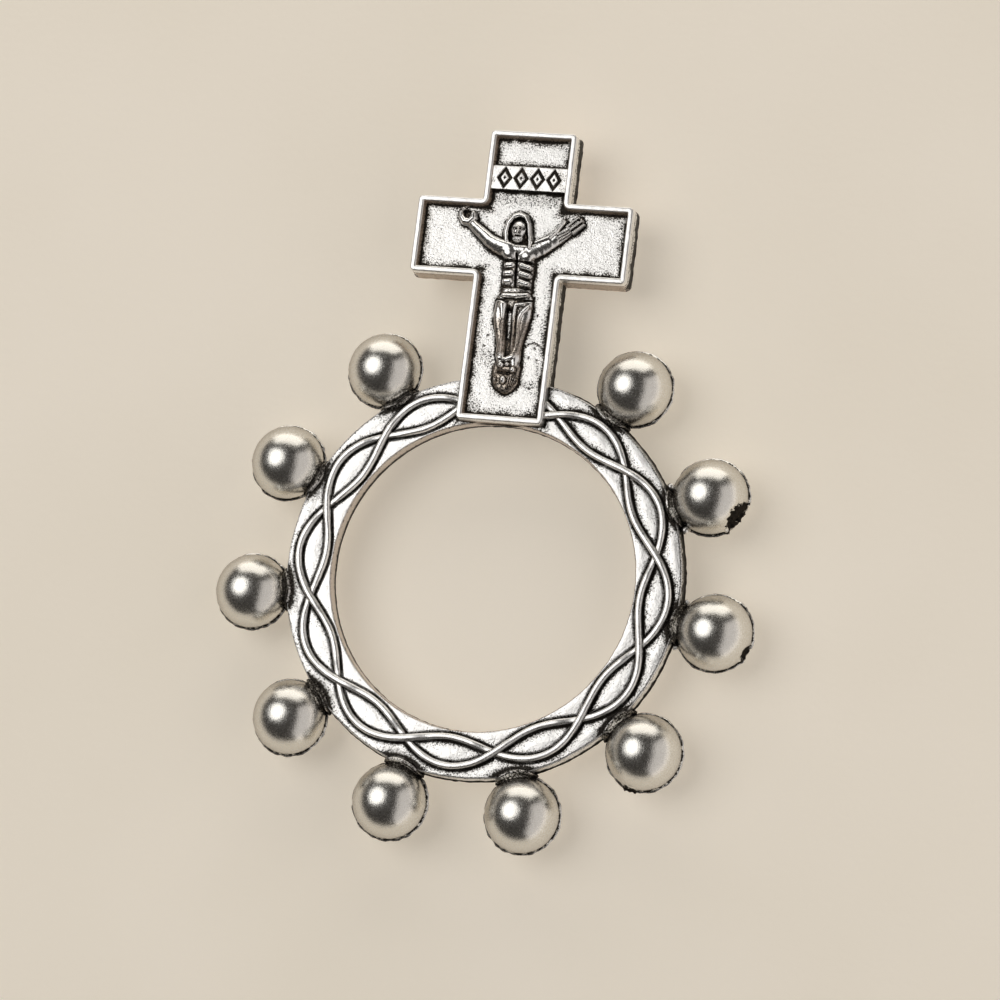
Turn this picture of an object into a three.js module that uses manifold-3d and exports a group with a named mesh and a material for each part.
// A one-decade finger rosary in antique silver: a flat finger ring with two interlaced strands on
// its face, ten beads on collars around its edge, and a crucifix at the eleventh station.
// Millimetres, +Z is the front face's normal, +Y points to the top of the cross.
// It lies on its beads: the origin is the middle of its outline, on the surface that it lies on.

import * as THREE from "three";
import { mergeVertices } from "three/addons/utils/BufferGeometryUtils.js";
import Module from "manifold-3d";

const wasm = await Module();
wasm.setup();

// Ring band
const holeRadius = 10;
const innerMargin = 0.27;
const outerMargin = 0.42;
const bandThickness = 1.8;
const edgeBevel = 0.1;
const outerCrown = 0.2;

// Strands in relief on the band's face
const strandWidth = 0.42;
const strandHeight = 0.36;
const strandLap = 0.2;
const strandWave = 0.92;
const waveCount = 6;
const firstCrossing = 18.5;
const lapFlat = 3;
const lapRamp = 5;

// Beads and their collars
const stationCount = 11;
const beadDiameter = 4.84;
const collarEndRadius = 1;
const collarMidRadius = 1.1;
const collarExposed = 0.35;
const strandClearance = 0.07;

// Crucifix
const uprightWidth = 5.75;
const crossbarLength = 14.4;
const crossbarHeight = 5.1;
const topArm = 4.65;
const lowerArm = 9.55;
const backThickness = 1.4;
const footLap = 0.2;
const recessDepth = 0.5;
const rimWidth = 0.4;
const rimBevel = 0.07;
const boardHeight = 1.75;
const boardThickness = 0.34;
const boardOffset = 0.65;

// Figure on the panel. Its heights are from the middle of the crossbar, unless said otherwise.
const headHeight = 0.62;
const headLength = 2.25;
const hairWidth = 1.85;
const faceWidth = 1.2;
const shoulderDrop = 0.15;
const chestWidth = 2.5;
const waistWidth = 2.05;
const waistDrop = 3.4;
const clothWidth = 2.3;
const clothDrop = 3.85;
const ribRows = 3;
const ribPitch = 0.52;
const kneeWidth = 1.75;
const ankleWidth = 1.15;
const upperArmWidth = 0.92;
const wristWidth = 0.5;
const armSpread = 3.85;
const handWidth = 0.74;
const handMargin = 0.2;
const feetMargin = 1.5;
const feetLength = 2.2;
const feetWidth = 1.75;
const reliefHeight = 0.72;

// Solder film between pieces that meet on round or slanted faces
const film = 0.04;

// Facets
const ringSteps = 96;
const strandSteps = 132;
const beadSides = 20;
const figureSides = 12;
const figureRows = 8;

// Worked out from the sizes above. Heights are from the band's front face, places from its centre.
const bandWidth = innerMargin + 2 * strandWave + strandWidth + outerMargin;
const bandRadius = holeRadius + bandWidth;
const middleHeight = -bandThickness / 2;
const strandRadius = holeRadius + innerMargin + strandWidth / 2 + strandWave;
const beadRadius = beadDiameter / 2;
const collarSeat = bandRadius - outerMargin + strandClearance;
const beadSeat = bandRadius + collarExposed;
const beadFlatDrop = Math.sqrt(beadRadius ** 2 - collarEndRadius ** 2);
const beadCentre = beadSeat + beadFlatDrop;
const stationStep = (2 * Math.PI) / stationCount;
const footEnd = holeRadius;
const crossbarLow = footEnd + lowerArm;
const crossbarMiddle = crossbarLow + crossbarHeight / 2;
const crossbarTop = crossbarLow + crossbarHeight;
const crossTop = crossbarTop + topArm;
const panelHeight = footLap;
const lowestBeadDrop = beadCentre * Math.cos(stationStep / 2) + beadRadius;
const outlineMiddle = (crossTop - lowestBeadDrop) / 2;
const restHeight = beadRadius - middleHeight;

function silver(color, roughness) {
  return new THREE.MeshStandardMaterial({ color, roughness, metalness: 1 });
}

const bandSilver = silver(0xb9b7b2, 0.36);
const strandSilver = silver(0xd2d0ca, 0.28);
const beadSilver = silver(0xc6c3bb, 0.22);
const collarSilver = silver(0x86837d, 0.4);
const panelSilver = silver(0xb4b2ad, 0.45);
const rimSilver = silver(0xd4d2cc, 0.28);
const figureSilver = silver(0x99958c, 0.34);

function piece(name, geometry, material) {
  const mesh = new THREE.Mesh(geometry, material);
  mesh.name = name;
  return mesh;
}

// A closed geometry as a solid for cutting and joining.
function solidOf(geometry) {
  const bare = geometry.clone();
  bare.deleteAttribute("normal");
  bare.deleteAttribute("uv");
  const merged = mergeVertices(bare, 1e-5);
  return new wasm.Manifold(new wasm.Mesh({
    numProp: 3,
    vertProperties: new Float32Array(merged.attributes.position.array),
    triVerts: new Uint32Array(merged.index.array),
  }));
}

function geometryOf(solid) {
  const mesh = solid.getMesh();
  const geometry = new THREE.BufferGeometry();
  geometry.setAttribute("position", new THREE.BufferAttribute(mesh.vertProperties, 3));
  geometry.setIndex(new THREE.BufferAttribute(mesh.triVerts, 1));
  geometry.computeVertexNormals();
  return geometry;
}

function block(width, depth, height, x, y, z) {
  return solidOf(new THREE.BoxGeometry(width, depth, height).translate(x, y, z));
}

// Flat ring with bevelled edges and a slight crown at the middle of its outer wall. The hole's wall
// is straight. Each collar sits in a square seat cut into the outer edge.
function ringBand() {
  const profile = [
    [holeRadius + edgeBevel, 0],
    [holeRadius, -edgeBevel],
    [holeRadius, edgeBevel - bandThickness],
    [holeRadius + edgeBevel, -bandThickness],
    [bandRadius - edgeBevel, -bandThickness],
    [bandRadius, edgeBevel - bandThickness],
    [bandRadius + outerCrown, middleHeight],
    [bandRadius, -edgeBevel],
    [bandRadius - edgeBevel, 0],
    [holeRadius + edgeBevel, 0],
  ].map(([radius, height]) => new THREE.Vector2(radius, height));
  const ring = new THREE.LatheGeometry(profile, ringSteps).rotateX(Math.PI / 2);
  let solid = solidOf(ring);
  const seatWidth = 2 * (collarMidRadius + film);
  const seatDepth = outerMargin + outerCrown + beadRadius;
  for (let station = 1; station < stationCount; station += 1) {
    const seat = new THREE.BoxGeometry(seatWidth, seatDepth, 2 * bandThickness);
    seat.translate(0, collarSeat + seatDepth / 2, middleHeight);
    seat.rotateZ(-station * stationStep);
    solid = solid.subtract(solidOf(seat));
  }
  return geometryOf(solid);
}

// How far a place on a strand is into a lap, from 0 clear of it to 1 at the crossing.
function lapShare(wave, side) {
  const crossingStep = 180 / waveCount;
  const place = ((wave / Math.PI) % 2 + 2) % 2;
  const nearest = side > 0 ? Math.min(place, 2 - place) : Math.abs(place - 1);
  const away = nearest * crossingStep - lapFlat;
  return 1 - THREE.MathUtils.smoothstep(away, 0, lapRamp);
}

// A bar of half-round section, bent into a wave around the band. Where it passes over its partner
// it lifts off the band, and where it passes under, it is pressed down. It stops at the cross.
function strand(side) {
  const section = new THREE.Shape([
    new THREE.Vector2(-0.5, 0),
    new THREE.Vector2(0.5, 0),
    new THREE.Vector2(0.5, 0.45),
    new THREE.Vector2(0.2, 1),
    new THREE.Vector2(-0.2, 1),
    new THREE.Vector2(-0.5, 0.45),
  ]);
  const bar = new THREE.ExtrudeGeometry(section, { depth: 1, steps: strandSteps, bevelEnabled: false });
  const footHalf = uprightWidth / 2 + film;
  const gap = 0.8 * Math.asin(footHalf / bandRadius);
  const start = THREE.MathUtils.degToRad(firstCrossing);
  const position = bar.attributes.position;
  for (let index = 0; index < position.count; index += 1) {
    const turn = gap + position.getZ(index) * (2 * Math.PI - 2 * gap);
    const wave = waveCount * (turn - start);
    const over = lapShare(wave, side);
    const under = lapShare(wave, -side);
    const low = (strandLap + film) * over;
    const high = strandHeight + (strandLap + film) * 0.5 * over - (strandHeight - strandLap) * under;
    const slope = Math.atan2(side * strandWave * waveCount * Math.cos(wave), strandRadius);
    const offset = position.getX(index) * strandWidth;
    const radius = strandRadius + side * strandWave * Math.sin(wave) + offset * Math.cos(slope);
    const angle = turn - (offset * Math.sin(slope)) / strandRadius;
    const height = low + position.getY(index) * (high - low);
    position.setXYZ(index, radius * Math.sin(angle), radius * Math.cos(angle), height);
  }
  const foot = block(2 * footHalf, 2 * bandWidth, 4 * strandHeight, 0, holeRadius + bandWidth / 2, 0);
  return geometryOf(solidOf(bar).subtract(foot));
}

// Turned about the line from the ring's centre outwards, with its flat seat towards the collar.
function bead() {
  const profile = [];
  const step = Math.PI / 12;
  const flatAngle = Math.PI - Math.asin(collarEndRadius / beadRadius);
  for (let angle = 0; angle < flatAngle - step / 3; angle += step) {
    profile.push(new THREE.Vector2(beadRadius * Math.sin(angle), beadRadius * Math.cos(angle)));
  }
  profile[0].x = 0;
  profile.push(new THREE.Vector2(collarEndRadius, -beadFlatDrop));
  profile.push(new THREE.Vector2(0, -beadFlatDrop));
  return new THREE.LatheGeometry(profile.reverse(), beadSides);
}

function collar() {
  const length = beadSeat - collarSeat - 2 * film;
  const profile = [
    [0, 0],
    [collarEndRadius, 0],
    [collarMidRadius, length * 0.3],
    [collarMidRadius, length * 0.7],
    [collarEndRadius, length],
    [0, length],
  ].map(([radius, height]) => new THREE.Vector2(radius, height));
  return new THREE.LatheGeometry(profile, beadSides);
}

// Outline of the Latin cross, drawn in from its edge by an inset.
function crossShape(inset, Kind = THREE.Shape) {
  const upright = uprightWidth / 2 - inset;
  const arm = crossbarLength / 2 - inset;
  const low = crossbarLow + inset;
  const high = crossbarTop - inset;
  return new Kind([
    [-upright, footEnd + inset],
    [upright, footEnd + inset],
    [upright, low],
    [arm, low],
    [arm, high],
    [upright, high],
    [upright, crossTop - inset],
    [-upright, crossTop - inset],
    [-upright, high],
    [-arm, high],
    [-arm, low],
    [-upright, low],
  ].map(([x, y]) => new THREE.Vector2(x, y)));
}

// Plate of the cross. Its foot is halved onto the band, and its back stops short of the band's edge.
function crossPlate() {
  const flat = { bevelEnabled: false, depth: panelHeight + backThickness };
  const plate = solidOf(new THREE.ExtrudeGeometry(crossShape(0), flat).translate(0, 0, -backThickness));
  const clearRadius = bandRadius + outerCrown + film;
  const lap = new THREE.CylinderGeometry(clearRadius, clearRadius, bandThickness, ringSteps);
  lap.rotateX(Math.PI / 2).translate(0, 0, middleHeight);
  return geometryOf(plate.subtract(solidOf(lap)));
}

function crossRim() {
  const frame = crossShape(rimBevel);
  frame.holes.push(crossShape(rimWidth - rimBevel, THREE.Path));
  const rise = {
    depth: recessDepth - rimBevel,
    bevelEnabled: true,
    bevelSegments: 1,
    bevelSize: rimBevel,
    bevelThickness: rimBevel,
  };
  const full = solidOf(new THREE.ExtrudeGeometry(frame, rise).translate(0, 0, panelHeight));
  const span = 3 * crossTop;
  const below = block(span, span, 2 * rimBevel, 0, crossbarMiddle, panelHeight - rimBevel);
  return geometryOf(full.subtract(below));
}

function titleBoard() {
  const width = uprightWidth - 2 * rimWidth - 2 * film;
  const board = new THREE.BoxGeometry(width, boardHeight, boardThickness);
  return board.translate(0, crossbarTop + boardOffset + boardHeight / 2, panelHeight + boardThickness / 2);
}

// An egg shape for the figure, half sunk in the panel before the panel's side is cut off.
function egg(halfWidth, halfLength, halfHeight, x, y, lean = 0) {
  const shape = new THREE.SphereGeometry(1, figureSides, figureRows);
  shape.scale(halfWidth, halfLength, halfHeight).rotateZ(lean).translate(x, y, panelHeight);
  return solidOf(shape);
}

// A tapered limb between two places on the panel.
function limb(from, to, startRadius, endRadius) {
  const length = Math.hypot(to[0] - from[0], to[1] - from[1]);
  const lean = Math.atan2(from[0] - to[0], to[1] - from[1]);
  const shaft = new THREE.CylinderGeometry(endRadius, startRadius, length, figureSides);
  shaft.rotateZ(lean).translate((from[0] + to[0]) / 2, (from[1] + to[1]) / 2, panelHeight);
  const start = egg(startRadius, startRadius, startRadius, from[0], from[1]);
  const end = egg(endRadius, endRadius, endRadius, to[0], to[1]);
  return solidOf(shaft).add(start).add(end);
}

// Low relief of the figure: head with hair, raised arms, chest and ribs, cloth at the hips, legs
// side by side, and feet on a small block.
function corpus() {
  const head = crossbarMiddle + headHeight;
  const shoulder = crossbarMiddle - shoulderDrop;
  const waist = crossbarMiddle - waistDrop;
  const cloth = crossbarMiddle - clothDrop;
  const hand = crossbarTop - rimWidth - handMargin - handWidth / 2;
  const feetEnd = footEnd + rimWidth + feetMargin;
  const ankle = feetEnd + feetLength;
  const knee = (cloth + ankle) / 2;
  const chest = shoulder - chestWidth * 0.28;
  const forms = [
    egg(hairWidth / 2, headLength / 2, reliefHeight * 0.8, 0, head),
    egg(faceWidth / 2, headLength * 0.4, reliefHeight, 0, head - headLength * 0.04),
    egg(chestWidth / 2, (shoulder - waist) * 0.55, reliefHeight * 0.8, 0, (shoulder + waist) / 2),
    egg(waistWidth / 2, (shoulder - cloth) * 0.5, reliefHeight * 0.75, 0, (shoulder + cloth) / 2),
    limb([-clothWidth * 0.35, cloth], [clothWidth * 0.35, cloth], clothWidth * 0.15, clothWidth * 0.15),
    egg(feetWidth / 2, feetLength / 2, reliefHeight * 0.7, 0, feetEnd + feetLength / 2),
  ];
  for (const side of [-1, 1]) {
    const joint = [side * chestWidth * 0.42, shoulder - upperArmWidth * 0.3];
    const wrist = [side * (armSpread - handWidth * 0.3), hand - handWidth * 0.4];
    const elbow = [(joint[0] + wrist[0]) / 2, (joint[1] + wrist[1]) / 2 - wristWidth * 0.5];
    const elbowRadius = (upperArmWidth + wristWidth) / 4;
    const hip = [side * clothWidth * 0.27, cloth];
    const kneePlace = [side * kneeWidth * 0.25, knee];
    forms.push(egg(chestWidth * 0.26, chestWidth * 0.2, reliefHeight, side * chestWidth * 0.23, chest));
    for (let row = 0; row < ribRows; row += 1) {
      const rib = [side * waistWidth * 0.24, chest - chestWidth * 0.27 - row * ribPitch];
      forms.push(egg(waistWidth * 0.24, ribPitch * 0.42, reliefHeight * 0.92, ...rib));
    }
    forms.push(limb(joint, elbow, upperArmWidth / 2, elbowRadius));
    forms.push(limb(elbow, wrist, elbowRadius, wristWidth / 2));
    forms.push(egg(handWidth / 2, handWidth / 2, handWidth / 2, side * armSpread, hand));
    forms.push(limb(hip, kneePlace, clothWidth * 0.27, kneeWidth * 0.25));
    forms.push(limb(kneePlace, [side * ankleWidth * 0.25, ankle], kneeWidth * 0.25, ankleWidth * 0.25));
    const foot = [side * feetWidth * 0.21, ankle - feetLength * 0.42];
    forms.push(egg(feetWidth * 0.2, feetLength * 0.36, reliefHeight, ...foot));
  }
  const figure = forms.reduce((whole, form) => whole.add(form));
  const behind = block(4 * armSpread, 3 * crossTop, 2, 0, crossbarMiddle, panelHeight - 1);
  return geometryOf(figure.subtract(behind));
}

const rosary = new THREE.Group();
rosary.position.set(0, -outlineMiddle, restHeight);
rosary.add(piece("ring_band", ringBand(), bandSilver));
rosary.add(piece("strand_a", strand(1), strandSilver));
rosary.add(piece("strand_b", strand(-1), strandSilver));
for (let station = 1; station < stationCount; station += 1) {
  const number = String(station).padStart(2, "0");
  const place = new THREE.Group();
  place.rotation.z = -station * stationStep;
  const collarPiece = piece(`bead_collar_${number}`, collar(), collarSilver);
  collarPiece.position.set(0, collarSeat + film, middleHeight);
  const beadPiece = piece(`bead_${number}`, bead(), beadSilver);
  beadPiece.position.set(0, beadCentre, middleHeight);
  place.add(collarPiece, beadPiece);
  rosary.add(place);
}
rosary.add(piece("cross_plate", crossPlate(), panelSilver));
rosary.add(piece("cross_rim", crossRim(), rimSilver));
rosary.add(piece("title_board", titleBoard(), rimSilver));
rosary.add(piece("corpus", corpus(), figureSilver));

export default rosary;
